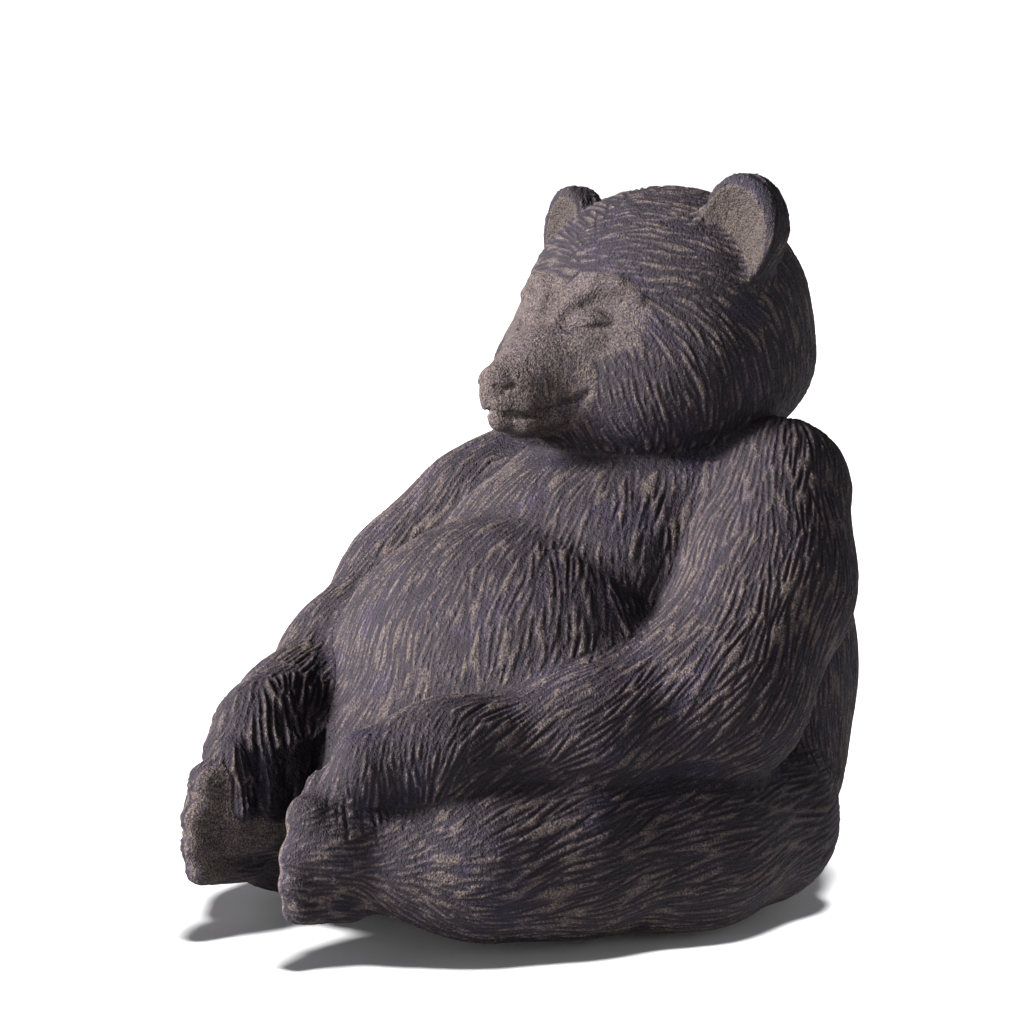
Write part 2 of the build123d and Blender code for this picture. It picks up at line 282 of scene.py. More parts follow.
def leg_shape(p, side):
    """Thigh, knee and shin as one bar, with its foot."""
    d = bar(p, mirrored(LEG, side), 12)
    return blend(d, foot_shape(p, side), 5)


def arm_shape(p, side):
    """Arm and hand; the fingers run over the foot's top and down its sole."""
    stations = ARM_LEFT if side > 0 else ARM_RIGHT
    d = bar(p, mirrored(stations, side), 14)
    lift = FOOT_LIFT[side]
    wide, first, count, low, back = (7.4, -90, 4, 34, 47) if side > 0 else (8.2, -91, 5, 38, 44)
    spread = -0.5 if side > 0 else 1.0
    for i in range(count):
        y = first + wide * i
        knuckle = (side * (stations[-1][0] + spread * i), y + 3, back + lift)
        over = (side * (sole_at(y, side) + 5.5), y, 44.5 + lift)
        tip = (side * (sole_at(y, side) + 0.6), y - 0.5, low - 1.2 * i)
        d = blend(d, bar(p, ((*knuckle, 6.0), (*over, 5.2), (*tip, 3.9)), 3), 3.2)
    if side < 0:
        d = blend(d, egg(p, (-25, -72, 56), (12, 17, 15)), 7)
    return d


BLOCKS = ("torso", "head", "left_arm", "right_arm", "left_leg", "right_leg")


def block_shapes(p):
    """Distance to each carved block, one column for each."""
    return np.stack([
        torso_shape(p), head_shape(p),
        arm_shape(p, 1), arm_shape(p, -1),
        leg_shape(p, 1), leg_shape(p, -1),
    ], 1)


def whole(p, d=None):
    """Distance to the whole figure, with the blocks blended into each other."""
    d = block_shapes(p) if d is None else d
    torso, head, arm_l, arm_r, leg_l, leg_r = d.T
    f = blend(torso, arm_l, 5)
    f = blend(f, arm_r, 5)
    f = blend(f, blend(leg_l, leg_r, 2), 3)
    f = blend(f, head, 2.5)
    f = face_cuts(p, f)
    return -blend(-f, -(FLOOR_GAP - p[:, 2]), 2.0)


# ---------------------------------------------------------------- where each block ends
RANK = {"head": 3, "left_arm": 2, "right_arm": 2, "left_leg": 1, "right_leg": 1, "torso": 0}
LAP = 1.1                   # how far an upper block runs over the one below it, mm
SINK = 0.12                 # a lower block lies this much below at the joint, mm
STEEP = 1.2                 # how steeply a block's end is cut off
FINER = 3                   # fine grid steps in a coarse one
MOST_FACES = 194000         # triangles in one block

ROOM = {                    # box searched for each block and its grid step, mm
    "torso": ((-72, -84, 0), (72, 112, 150), 1.27),
    "head": ((-56, -24, 118), (56, 108, 218), 1.34),
    "left_arm": ((12, -112, 28), (92, 88, 150), 0.98),
    "right_arm": ((-92, -112, 28), (-12, 88, 150), 0.98),
    "left_leg": ((2, -116, 0), (90, 80, 64), 1.02),
    "right_leg": ((-90, -116, 0), (-2, 80, 64), 1.02),
}


def side_of(block):
    return 1 if block.startswith("left") else -1


def one_side(p):
    """Points with those on the right moved over to the left."""
    return np.stack([np.abs(p[:, 0]), p[:, 1], p[:, 2]], 1)


def smooth(a, b, v):
    """0 at a, 1 at b, and a soft S between."""
    t = np.clip((v - a) / (b - a), 0, 1)
    return t * t * (3 - 2 * t)


def past_joints(d, block):
    """How far points lie past the joints with the blocks above and below."""
    mine = d[:, BLOCKS.index(block)]
    above = [k for k, b in enumerate(BLOCKS) if RANK[b] > RANK[block]]
    below = [k for k, b in enumerate(BLOCKS) if RANK[b] < RANK[block]]
    far = np.full(len(d), -99, np.float32)
    over = mine - d[:, above].min(1) if above else far
    under = mine - d[:, below].min(1) if below else far
    return over, under


def block_field(p, block):
    """Distance to one block of the whole figure, cut at its joints."""
    d = block_shapes(p)
    over, under = past_joints(d, block)
    f = whole(p, d) + STEEP * np.maximum(over - 0.4, 0) + SINK * smooth(-0.9, -0.3, over)
    return f + STEEP * np.maximum(under - LAP, 0)


def in_lots(field, p, lot=200000):
    """Values of a field, worked out a lot at a time to spare memory."""
    return np.concatenate([field(p[i:i + lot]) for i in range(0, len(p), lot)])


def stretch(a, axis, times):
    """Linear values between the samples of a grid along one axis."""
    a = np.moveaxis(a, axis, 0)
    steps = [a[:-1] * (1 - i / times) + a[1:] * (i / times) for i in range(times)]
    out = np.stack(steps, 1).reshape(-1, *a.shape[1:])
    return np.moveaxis(np.concatenate([out, a[-1:]], 0), 0, axis)


def lattice(low, counts, step):
    """Points of a regular grid."""
    axes = [low[i] + step * np.arange(counts[i]) for i in range(3)]
    return np.stack(np.meshgrid(*axes, indexing="ij"), -1).reshape(-1, 3).astype(np.float32)


def skin(field, low, high, step):
    """Closed quad mesh of the field's zero surface: points and faces.

    The field is worked out on a coarse grid, and on the fine one only near the surface.
    """
    coarse = FINER * step
    low = np.asarray(low, float)
    n = np.ceil((np.asarray(high, float) - low) / coarse).astype(int)
    values = in_lots(field, lattice(low, n + 1, coarse)).reshape(n + 1)
    for axis in range(3):
        values = stretch(values, axis, FINER)
    values = values.astype(np.float32)
    near = np.flatnonzero(np.abs(values.ravel()) < 1.7 * coarse)
    points = lattice(low, np.array(values.shape), step)
    values.ravel()[near] = in_lots(field, points[near])
    grid = openvdb.FloatGrid(background=float(coarse))
    grid.copyFromArray(np.clip(values, -coarse, coarse))
    co, quads = grid.convertToQuads(isovalue=0.0)
    co = low + np.asarray(co, float) * step
    quads = np.asarray(quads, int)
    a, b, c = co[quads[:, 0]], co[quads[:, 1]], co[quads[:, 2]]
    e = co[quads[:, 3]]
    volume = (np.cross(b - a, c - a) * a).sum() + (np.cross(c - a, e - a) * a).sum()
    if volume < 0:
        quads = quads[:, ::-1]
    return co.astype(np.float32), quads


def slope(field, p, h=0.25):
    """Value and gradient of a field."""
    here = in_lots(field, p)
    parts = []
    for axis in range(3):
        q = p.copy()
        q[:, axis] += h
        parts.append((in_lots(field, q) - here) / h)
    return here, np.stack(parts, 1)


def settle(field, p, limit, rounds=2):
    """Moves points on to the zero surface; returns them and the outward direction."""
    for _ in range(rounds):
        value, g = slope(field, p)
        size = np.einsum("ij,ij->i", g, g) + 1e-6
        move = np.clip(value / np.sqrt(size), -limit, limit) / np.sqrt(size)
        p = p - move[:, None] * g
    return p, g / np.sqrt(size)[:, None]


# ---------------------------------------------------------------- how the fur is cut
FACE = np.array((0, 14, 160), np.float32)       # the cuts run away from here on the head
DOWN = np.array((0, 0, -1), np.float32)
CUT_WIDTH = 0.86            # half the width of a cut, mm
CUT_DEEP = 0.58             # its depth
END_TO_END = 0.80           # how close cuts lie, as a share of their length
SIDE_BY_SIDE = 1.32         # and of their half width
LIMB_EASE = 22.0            # how far one length of a limb steers the cuts of the next


def unit(v):
    """The same directions, each of length 1."""
    return v / (np.linalg.norm(v, axis=1, keepdims=True) + 1e-6)


def limb_way(p, stations):
    """Direction along a limb at each point, eased from one length to the next."""
    total = np.zeros((len(p), 3), np.float32)
    for one, two in zip(stations[:-1], stations[1:]):
        a, b = np.asarray(one[:3], np.float32), np.asarray(two[:3], np.float32)
        middle = (a + b) / 2
        near = np.exp(-((p - middle) ** 2).sum(1) / (2 * LIMB_EASE ** 2))
        total += near[:, None] * ((b - a) / np.linalg.norm(b - a))
    return unit(total)


def plain_zone(p, block):
    """1 where the surface is left gritty, without fur cuts."""
    if block == "head":
        q = one_side(p)
        muzzle = egg(q, (0, -2, 151), (22, 26, 17))
        eye = egg(q, (13, 14, 169.5), (17, 18, 13))
        zone = smooth(1.5, -1.5, np.minimum(muzzle, eye))
        return np.maximum(zone, ear_dish(p))
    if block.endswith("leg"):
        side = side_of(block)
        sole = side * p[:, 0] - sole_at(p[:, 1], side) - 2.5
        return smooth(1.5, -1.5, sole) * smooth(-56, -62, p[:, 1])
    return np.zeros(len(p), np.float32)


def ear_dish(p):
    """1 on the hollow front of the ears."""
    out = np.zeros(len(p), np.float32)
    for side in (1, -1):
        dish = egg(in_ear(p, side), (-side * EAR_DISH[0], *EAR_DISH[1:]), (11.6, 6.0, 15.7))
        on_ear = smooth(1.1, 0.4, ear_shape(p, side))
        out = np.maximum(out, smooth(0.5, -0.2, dish) * on_ear)
    return out


def head_fur(p, n):
    """Away from the face, round the crown, down the cheeks and up the ears."""
    count = len(p)
    drop = 1.15 * smooth(190, 166, p[:, 2]) + 1.6 * smooth(166, 140, p[:, 2])
    drop = drop + 1.2 * smooth(50, 84, p[:, 1])
    way = unit(p - FACE) + drop[:, None] * DOWN
    crown = (smooth(168, 177, p[:, 2]) * smooth(64, 46, p[:, 1]))[:, None]
    backwards, downwards = np.full(count, 0.55, np.float32), np.full(count, -0.1, np.float32)
    round_it = np.stack([np.tanh(p[:, 0] / 1.5), backwards, downwards], 1)
    way = unit(way) * (1 - crown) + unit(round_it) * crown
    under = smooth(-0.55, -0.85, n[:, 2])[:, None]
    way = way * (1 - under) - under * unit(p * np.array((1, 1, 0)) - np.array((0, 50, 0)))
    ear = smooth(0.8, -0.4, np.minimum(ear_shape(p, 1), ear_shape(p, -1)) - 0.4)[:, None]
    way = way * (1 - ear) + ear * np.array((0, 0.2, 1), np.float32)
    return way, 19.0, CUT_WIDTH, CUT_DEEP


def torso_fur(p):
    """Down the belly and back, with faint cuts low on the belly's right."""
    back = smooth(30, 62, p[:, 1])[:, None]
    way = np.array((0, -0.25, -1), np.float32) * (1 - back) + DOWN * back
    soft = smooth(82, 52, p[:, 2]) * smooth(30, 4, p[:, 0]) * smooth(20, 0, p[:, 1])
    return way, 20.0, CUT_WIDTH - 0.06 * soft, CUT_DEEP - 0.38 * soft


def arm_fur(p, side):
    """Along the arm, then down over the hand; the right hand's cuts are bolder."""
    bold = 1 if side < 0 else 0
    hand = smooth(-62, -76, p[:, 1])[:, None]
    way = limb_way(p, arm_stations(side)) + np.array((0, 0, -0.55), np.float32)
    way = way * (1 - hand) + DOWN * hand
    return way, 18, CUT_WIDTH + 0.3 * bold * hand[:, 0], CUT_DEEP + 0.2 * hand[:, 0] * bold


def leg_fur(p, side):
    """Fanned out from the heel, and straight along the foot."""
    heel = np.array((side * 34, -84, 12), np.float32)
    foot = smooth(-56, -74, p[:, 1])[:, None]
    fan = unit(p - heel) + np.array((0, 0.4, 0.1), np.float32)
    way = fan * (1 - foot) + np.array((0, 1, 0), np.float32) * foot
    return way, 20 - 8 * foot[:, 0], CUT_WIDTH, CUT_DEEP - 0.2 * foot[:, 0]


def fur(p, n, block):
    """Way, length, half width and depth of the cuts at each point, mm."""
    if block == "head":
        way, *sizes = head_fur(p, n)
    elif block == "torso":
        way, *sizes = torso_fur(p)
    elif block.endswith("arm"):
        way, *sizes = arm_fur(p, side_of(block))
    else:
        way, *sizes = leg_fur(p, side_of(block))
    way = unit(way - (way * n).sum(1)[:, None] * n)
    sway = 0.10 * np.sin(p[:, 2] / 3.1 + 2 * np.sin(p[:, 0] / 9))
    sway = sway + 0.08 * np.sin(p[:, 1] / 4.3 + p[:, 0] / 5)
    way = unit(way + sway[:, None] * np.cross(n, way))
    return way, *(np.full(len(p), size, np.float32) for size in sizes)


def arm_stations(side):
    return mirrored(ARM_LEFT if side > 0 else ARM_RIGHT, side)


def comb(p, block):
    """Coordinates that change slowly along the cuts, for the fine streaks, mm."""
    if block == "head":
        away = p - FACE
        far = np.linalg.norm(away, axis=1, keepdims=True)
        radial = away / (far + 1e-6) * 46 + 0.12 * far
        back = np.maximum(smooth(50, 76, p[:, 1]), smooth(176, 156, p[:, 2]))[:, None]
        return radial * (1 - back) + p * np.array((1, 1, 0.15)) * back
    if block == "torso":
        q = p.copy()
        q[:, 2] = 0.15 * p[:, 2]
        q[:, 1] = p[:, 1] - 0.3 * p[:, 2]
        return q
    if block.endswith("arm"):
        stations = arm_stations(side_of(block))
        a, b = np.asarray(stations[0][:3], float), np.asarray(stations[-1][:3], float)
        t = (b - a) / np.linalg.norm(b - a)
        return p - 0.85 * (p @ t)[:, None] * t
    return p * np.array((1, 0.15, 1))


def lay_cuts(p, way, length, width, rng):
    """Picks the cut centres: close beside each other, staggered end to end."""
    reach = END_TO_END * length
    beside = (SIDE_BY_SIDE * width) ** 2
    cell = float(reach.max())
    keys = np.floor(p / cell).astype(int)
    steps = [(i, j, k) for i in (-1, 0, 1) for j in (-1, 0, 1) for k in (-1, 0, 1)]
    shelf, kept = {}, []
    for i in rng.permutation(len(p)):
        x, y, z = keys[i]
        near = []
        for a, b, c in steps:
            near += shelf.get((x + a, y + b, z + c), [])
        if near:
            gap = p[near] - p[i]
            along = gap @ way[i]
            across = np.einsum("ij,ij->i", gap, gap) - along ** 2
            if ((along / reach[i]) ** 2 + across / beside[i]).min() < 1:
                continue
        shelf.setdefault((int(x), int(y), int(z)), []).append(int(i))
        kept.append(int(i))
    return np.array(kept)


def set_values(mesh, name, kind, values):
    """Stores one value for each point of a mesh."""
    layer = mesh.attributes.new(name, kind, "POINT")
    field = "vector" if kind == "FLOAT_VECTOR" else "value"
    layer.data.foreach_set(field, np.asarray(values, np.float32).ravel())


def mesh_of(name, co, faces=()):
    """New mesh from points in mm."""
    mesh = bpy.data.meshes.new(name)
    mesh.from_pydata((np.asarray(co, float) * MM).tolist(), [], faces)
    mesh.update()
    return mesh


def linked(name, mesh):
    """New object in the scene."""
    obj = bpy.data.objects.new(name, mesh)
    bpy.context.scene.collection.objects.link(obj)
    return obj


def cut_lines(stock, rng):
    """Object whose points are the middles of all the gouge cuts on the figure."""
    found = []
    for block, (co, out, seen) in stock.items():
        p, n = co[seen], out[seen]
        plain = plain_zone(p, block) < 0.4
        p, n = p[plain], n[plain]
        found.append((p, n, *fur(p, n, block)))
    p, n, way, length, width, deep = (np.concatenate(c) for c in zip(*found))
    kept = lay_cuts(p, way, length, width, rng)
    p, n, way, length, width, deep = (c[kept] for c in (p, n, way, length, width, deep))
    count = len(p)
    wander = rng.normal(0, 0.07, count)
    way = unit(way + wander[:, None] * np.cross(n, way))
    length = length * rng.uniform(0.72, 1.2, count)
    width = width * rng.uniform(0.82, 1.15, count)
    deep = deep * rng.uniform(0.7, 1.2, count)
    mesh = mesh_of("cuts", p)
    set_values(mesh, "cut_way", "FLOAT_VECTOR", way)
    set_values(mesh, "cut_out", "FLOAT_VECTOR", n)
    set_values(mesh, "cut_half", "FLOAT", length * MM / 2)
    set_values(mesh, "cut_width", "FLOAT", width * MM)
    set_values(mesh, "cut_deep", "FLOAT", deep * MM)
    return linked("cuts", mesh)


# ---------------------------------------------------------------- the gouge cut tree
PIT_SIZE = 420.0            # pits to a metre, about


def node(tree, kind, **settings):
    """Adds a node; settings are its properties."""
    made = tree.nodes.new(kind)
    for key, value in settings.items():
        setattr(made, key, value)
    return made


def feed(tree, socket, value):
    """Links an output to a socket, or sets a plain value on it."""
    if isinstance(value, bpy.types.NodeSocket):
        tree.links.new(value, socket)
    else:
        socket.default_value = value


def sum_of(tree, kind, *values, clamp=False):
    """Math node of one kind, such as MULTIPLY."""
    made = node(tree, "ShaderNodeMath", operation=kind, use_clamp=clamp)
    for socket, value in zip(made.inputs, values):
        feed(tree, socket, value)
    return made.outputs[0]


def vector_of(tree, kind, *values, scale=None):
    """Vector Math node of one kind, such as ADD."""
    made = node(tree, "ShaderNodeVectorMath", operation=kind)
    for socket, value in zip(made.inputs, values):
        feed(tree, socket, value)
    if scale is not None:
        feed(tree, made.inputs["Scale"], scale)
    return made.outputs["Vector"]


def named(tree, name, kind="FLOAT"):
    """Reads an attribute by its name."""
    made = node(tree, "GeometryNodeInputNamedAttribute", data_type=kind)
    made.inputs["Name"].default_value = name
    return made.outputs["Attribute"]


def stored(tree, geometry, name, value):
    """Keeps one value for each point under a name."""
    made = node(tree, "GeometryNodeStoreNamedAttribute", data_type="FLOAT", domain="POINT")
    feed(tree, made.inputs["Geometry"], geometry)
    made.inputs["Name"].default_value = name
    feed(tree, made.inputs["Value"], value)
    return made.outputs["Geometry"]


def gouge_inputs(tree):
    """Names what the tree can be given, with its usual sizes in metres."""
    face = tree.interface
    face.new_socket("Block", in_out="INPUT", socket_type="NodeSocketGeometry")
    face.new_socket("Cuts", in_out="INPUT", socket_type="NodeSocketObject")
    usual = {
        "Depth": 1.0, "Run out": 1.25, "Grain": 0.06 * MM, "Grain size": 1000.0,
        "Pits": 0.3 * MM, "Seed": 0.0,
    }
    for label, value in usual.items():
        socket = face.new_socket(label, in_out="INPUT", socket_type="NodeSocketFloat")
        socket.default_value = value
    face.new_socket("Wood", in_out="INPUT", socket_type="NodeSocketMaterial")
    face.new_socket("Carved", in_out="OUTPUT", socket_type="NodeSocketGeometry")


def straight_lines(tree, cuts):
    """One straight line for each cut, its points marked from -1 to 1 as "reach"."""
    info = node(tree, "GeometryNodeObjectInfo", transform_space="ORIGINAL")
    feed(tree, info.inputs["Object"], cuts)
    line = node(tree, "GeometryNodeMeshLine", mode="END_POINTS")
    line.inputs["Count"].default_value = 5
    line.inputs["Start Location"].default_value = (-1, 0, 0)
    line.inputs["Offset"].default_value = (1, 0, 0)
    split = node(tree, "ShaderNodeSeparateXYZ")
    feed(tree, split.inputs[0], node(tree, "GeometryNodeInputPosition").outputs[0])
    marked = stored(tree, line.outputs[0], "reach", split.outputs["X"])
    turn = node(tree, "FunctionNodeAxesToRotation", primary_axis="X", secondary_axis="Z")
    feed(tree, turn.inputs["Primary Axis"], named(tree, "cut_way", "FLOAT_VECTOR"))
    feed(tree, turn.inputs["Secondary Axis"], named(tree, "cut_out", "FLOAT_VECTOR"))
    size = node(tree, "ShaderNodeCombineXYZ")
    feed(tree, size.inputs["X"], named(tree, "cut_half"))
    size.inputs["Y"].default_value = 1
    size.inputs["Z"].default_value = 1
    put = node(tree, "GeometryNodeInstanceOnPoints")
    feed(tree, put.inputs["Points"], info.outputs["Geometry"])
    feed(tree, put.inputs["Instance"], marked)
    feed(tree, put.inputs["Rotation"], turn.outputs[0])
    feed(tree, put.inputs["Scale"], size.outputs[0])
    lines = node(tree, "GeometryNodeRealizeInstances")
    feed(tree, lines.inputs[0], put.outputs[0])
    return lines.outputs[0]


def laid_lines(tree, lines, block, run_out):
    """The lines laid on the block, their ends raised so that a cut runs out."""
    rest = node(tree, "GeometryNodeProximity", target_element="FACES")
    feed(tree, rest.inputs[0], block)
    climb = sum_of(tree, "POWER", named(tree, "reach"), 2.0)
    most = sum_of(tree, "MULTIPLY", named(tree, "cut_width"), run_out)
    climb = sum_of(tree, "MULTIPLY", climb, most)
    raised = vector_of(tree, "SCALE", named(tree, "cut_out", "FLOAT_VECTOR"), scale=climb)
    laid = node(tree, "GeometryNodeSetPosition")
    feed(tree, laid.inputs["Geometry"], lines)
    feed(tree, laid.inputs["Position"], vector_of(tree, "ADD", rest.outputs["Position"], raised))
    return laid.outputs[0]


def hollows(tree, laid, cut_mask):
    """How deep each point lies in its nearest cut, 0 to 1, and that cut's own depth."""
    gap = node(tree, "GeometryNodeProximity", target_element="EDGES")
    feed(tree, gap.inputs[0], laid)
    nearest = node(tree, "GeometryNodeSampleNearest", domain="EDGE")
    feed(tree, nearest.inputs["Geometry"], laid)

    def taken(name):
        pick = node(tree, "GeometryNodeSampleIndex", data_type="FLOAT", domain="EDGE")
        feed(tree, pick.inputs["Geometry"], laid)
        feed(tree, pick.inputs["Value"], named(tree, name))
        feed(tree, pick.inputs["Index"], nearest.outputs[0])
        return pick.outputs[0]

    share = sum_of(tree, "DIVIDE", gap.outputs["Distance"], taken("cut_width"))
    hollow = sum_of(tree, "SUBTRACT", 1.0, sum_of(tree, "POWER", share, 2.0), clamp=True)
    return sum_of(tree, "MULTIPLY", hollow, cut_mask), taken("cut_deep")


def lumps(tree, size, seed, detail):
    """Solid noise through the block, 0 to 1."""
    made = node(tree, "ShaderNodeTexNoise", noise_dimensions="4D")
    feed(tree, made.inputs["Vector"], node(tree, "GeometryNodeInputPosition").outputs[0])
    feed(tree, made.inputs["Scale"], size)
    feed(tree, made.inputs["W"], seed)
    made.inputs["Detail"].default_value = detail
    return made.outputs["Fac"]


def pitted(tree, given, cut_mask):
    """Shallow pits, deepest where the wood has no fur cuts."""
    pocks = sum_of(tree, "SUBTRACT", lumps(tree, PIT_SIZE, given["Seed"], 1.0), 0.6, clamp=True)
    pocks = sum_of(tree, "MULTIPLY", pocks, given["Pits"])
    left = sum_of(tree, "SUBTRACT", 1.0, sum_of(tree, "MULTIPLY", cut_mask, 0.75))
    return sum_of(tree, "MULTIPLY", sum_of(tree, "MULTIPLY", pocks, 5.0), left)


def gouge_tree():
    """Cuts fur grooves into a block along the lines that start from the points of Cuts."""
    tree = bpy.data.node_groups.new("gouge_cuts", "GeometryNodeTree")
    gouge_inputs(tree)
    given = node(tree, "NodeGroupInput").outputs
    block = given["Block"]
    cut_mask = named(tree, "carve")
    laid = laid_lines(tree, straight_lines(tree, given["Cuts"]), block, given["Run out"])
    hollow, deepest = hollows(tree, laid, cut_mask)
    depth = sum_of(tree, "MULTIPLY", sum_of(tree, "MULTIPLY", hollow, deepest), given["Depth"])
    grain = sum_of(tree, "SUBTRACT", lumps(tree, given["Grain size"], given["Seed"], 2.0), 0.5)
    grain = sum_of(tree, "MULTIPLY", sum_of(tree, "MULTIPLY", grain, given["Grain"]), 2.0)
    rise = sum_of(tree, "SUBTRACT", grain, depth)
    rise = sum_of(tree, "SUBTRACT", rise, pitted(tree, given, cut_mask))
    rise = sum_of(tree, "MULTIPLY", rise, named(tree, "open"))
    moved = node(tree, "GeometryNodeSetPosition")
    feed(tree, moved.inputs["Geometry"], stored(tree, block, "groove", hollow))
    outwards = named(tree, "out", "FLOAT_VECTOR")
    feed(tree, moved.inputs["Offset"], vector_of(tree, "SCALE", outwards, scale=rise))
    whole_piece = node(tree, "GeometryNodeRealizeInstances")
    feed(tree, whole_piece.inputs[0], moved.outputs[0])
    coat = node(tree, "GeometryNodeSetMaterial")
    feed(tree, coat.inputs["Geometry"], whole_piece.outputs[0])
    feed(tree, coat.inputs["Material"], given["Wood"])
    feed(tree, node(tree, "NodeGroupOutput").inputs[0], coat.outputs[0])
    return tree


def plain_mesh(obj):
    """The object's evaluated mesh, with its modifiers removed."""
    graph = bpy.context.evaluated_depsgraph_get()
    graph.update()
    shaped = obj.evaluated_get(graph)
    made = bpy.data.meshes.new_from_object(shaped, preserve_all_data_layers=True, depsgraph=graph)
    obj.modifiers.clear()
    old = obj.data
    obj.data = made
    bpy.data.meshes.remove(old)
    return obj


def thin_out(obj):
    """Merges the flattest faces of a block until it is within its share of triangles."""
    obj.data.calc_loop_triangles()
    count = len(obj.data.loop_triangles)
    if count > MOST_FACES:
        thin = obj.modifiers.new("thin", "DECIMATE")
        thin.ratio = MOST_FACES / count
        plain_mesh(obj)


def give(modifier, tree, **values):
    """Sets a modifier's inputs by identifier."""
    for item in tree.interface.items_tree:
        if item.item_type == "SOCKET" and item.in_out == "INPUT" and item.name in values:
            modifier[item.identifier] = values[item.name]


def unwrap(obj):
    """Lays the smooth block out flat for its colours."""
    mesh = obj.data
    mesh.uv_layers.new(name="OFBake")
    bpy.context.view_layer.objects.active = obj
    obj.select_set(True)
    bpy.ops.object.mode_set(mode="EDIT")
    bpy.ops.mesh.select_all(action="SELECT")
    bpy.ops.uv.smart_project(angle_limit=math.radians(66), island_margin=0.004)
    bpy.ops.object.mode_set(mode="OBJECT")
    obj.select_set(False)


def points_of(mesh):
    """Points of a mesh, in mm."""
    co = np.empty(len(mesh.vertices) * 3, np.float32)
    mesh.vertices.foreach_get("co", co)
    return co.reshape(-1, 3) / MM


def halve_faces(mesh, chosen):
    """Splits each chosen face in four; the mesh stays closed."""
    work = bmesh.new()
    work.from_mesh(mesh)
    work.faces.ensure_lookup_table()
    edges, known = [], set()
    for i in chosen:
        for edge in work.faces[i].edges:
            if edge.index not in known:
                known.add(edge.index)
                edges.append(edge)
    bmesh.ops.subdivide_edges(work, edges=edges, cuts=1, use_grid_fill=True)
    work.to_mesh(mesh)
    work.free()


def face_zone(p):
    """True round the eyes, nose and mouth, where the carving is finest."""
    q = one_side(p)
    muzzle = egg(q, (0, -8, 147), (17, 19, 11))
    eye = egg(q, (13, 13, 167), (9, 9, 7))
    return np.minimum(muzzle, eye) < 0


def smooth_block(block):
    """Closed block with finer faces where it is seen, laid out flat for its colours."""
    low, high, step = ROOM[block]
    field = lambda p: block_field(p, block)
    co, quads = skin(field, low, high, step)
    co, _ = settle(field, co, step * 0.5, 1)
    obj = linked("carved_" + block, mesh_of("carved_" + block, co, quads.tolist()))
    unwrap(obj)
    mesh = obj.data
    middles = co[quads].mean(1)
    over, under = past_joints(block_shapes(middles), block)
    in_sight = (over < 1.5) & (under < 2.5) & (middles[:, 2] > FLOOR_GAP + 0.8)
    halve_faces(mesh, np.flatnonzero(in_sight))
    co = points_of(mesh)
    if block == "head":
        co, _ = settle(field, co, step * 0.4, 1)
        middles = np.array([co[list(f.vertices)].mean(0) for f in mesh.polygons])
        halve_faces(mesh, np.flatnonzero(face_zone(middles)))
        co = points_of(mesh)
    co, out = settle(field, co, step * 0.4, 2)
    mesh.vertices.foreach_set("co", (co * MM).ravel())
    mesh.polygons.foreach_set("use_smooth", np.ones(len(mesh.polygons), bool))
    mesh.update()
    return obj, co, out


def rough_block(block):
    """Block with the fur's data on its points, before any cut; and where cuts may start."""
    obj, co, out = smooth_block(block)
    mesh = obj.data
    over, under = past_joints(block_shapes(co), block)
    bare = (over < 3.0) & (under < LAP + 2.5)
    seen = (over < 0.2) & (under < 0.6)
    plain = plain_zone(co, block)
    clear = smooth(FLOOR_GAP + 0.4, FLOOR_GAP + 3, co[:, 2])
    set_values(mesh, "out", "FLOAT_VECTOR", out)
    set_values(mesh, "open", "FLOAT", bare * clear)
    set_values(mesh, "carve", "FLOAT", (1 - plain) * clear * bare)
    set_values(mesh, "pale", "FLOAT", ear_dish(co) if block == "head" else np.zeros(len(co)))
    set_values(mesh, "comb", "FLOAT_VECTOR", comb(co, block) * MM)
    return obj, (co, out, seen & (clear > 0.5))


def carve_figure(wood):
    """Makes the six blocks, cuts the fur into them and parents them to the root body."""
    rng = np.random.default_rng(SEED)
    blocks, stock = {}, {}
    for block in BLOCKS:
        blocks[block], (co, out, seen) = rough_block(block)
        tried = rng.permutation(np.flatnonzero(seen))[::3]
        start = np.zeros(len(co), bool)
        start[tried] = True
        stock[block] = (co, out, start)
    cuts = cut_lines(stock, rng)
    tree = gouge_tree()
    for block, obj in blocks.items():
        carve = obj.modifiers.new("gouge_cuts", "NODES")
        carve.node_group = tree
        give(carve, tree, Cuts=cuts, Wood=wood, Seed=GRAIN_SEED)
        plain_mesh(obj)
        thin_out(obj)
        obj.data.name = "carved_" + block
        for layer in ("out", "open", "carve", "reach"):
            if layer in obj.data.attributes:
                obj.data.attributes.remove(obj.data.attributes[layer])
        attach(obj, "root")
        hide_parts(block)
    bpy.data.objects.remove(cuts)
    return list(blocks.values())


# ---------------------------------------------------------------- finishes
PAD_SQUARE = 3.2            # 2 would make the pad an oval, more makes it squarer


def shader(name):
    """New material, its node tree and its main shader."""
    made = bpy.data.materials.new(name)
    made.use_nodes = True
    tree = made.node_tree
    return made, tree, tree.nodes["Principled BSDF"]


def mapped(tree, source, scale):
    """Coordinates stretched along some axes."""
    made = node(tree, "ShaderNodeMapping")
    feed(tree, made.inputs["Vector"], source)
    made.inputs["Scale"].default_value = scale
    return made.outputs[0]


def noise(tree, where, scale, detail=3.0, rough=0.55):
    """Solid noise, 0 to 1, with about scale lumps to a metre."""
    made = node(tree, "ShaderNodeTexNoise")
    feed(tree, made.inputs["Vector"], where)
    made.inputs["Scale"].default_value = scale
    made.inputs["Detail"].default_value = detail
    made.inputs["Roughness"].default_value = rough
    return made.outputs["Fac"]


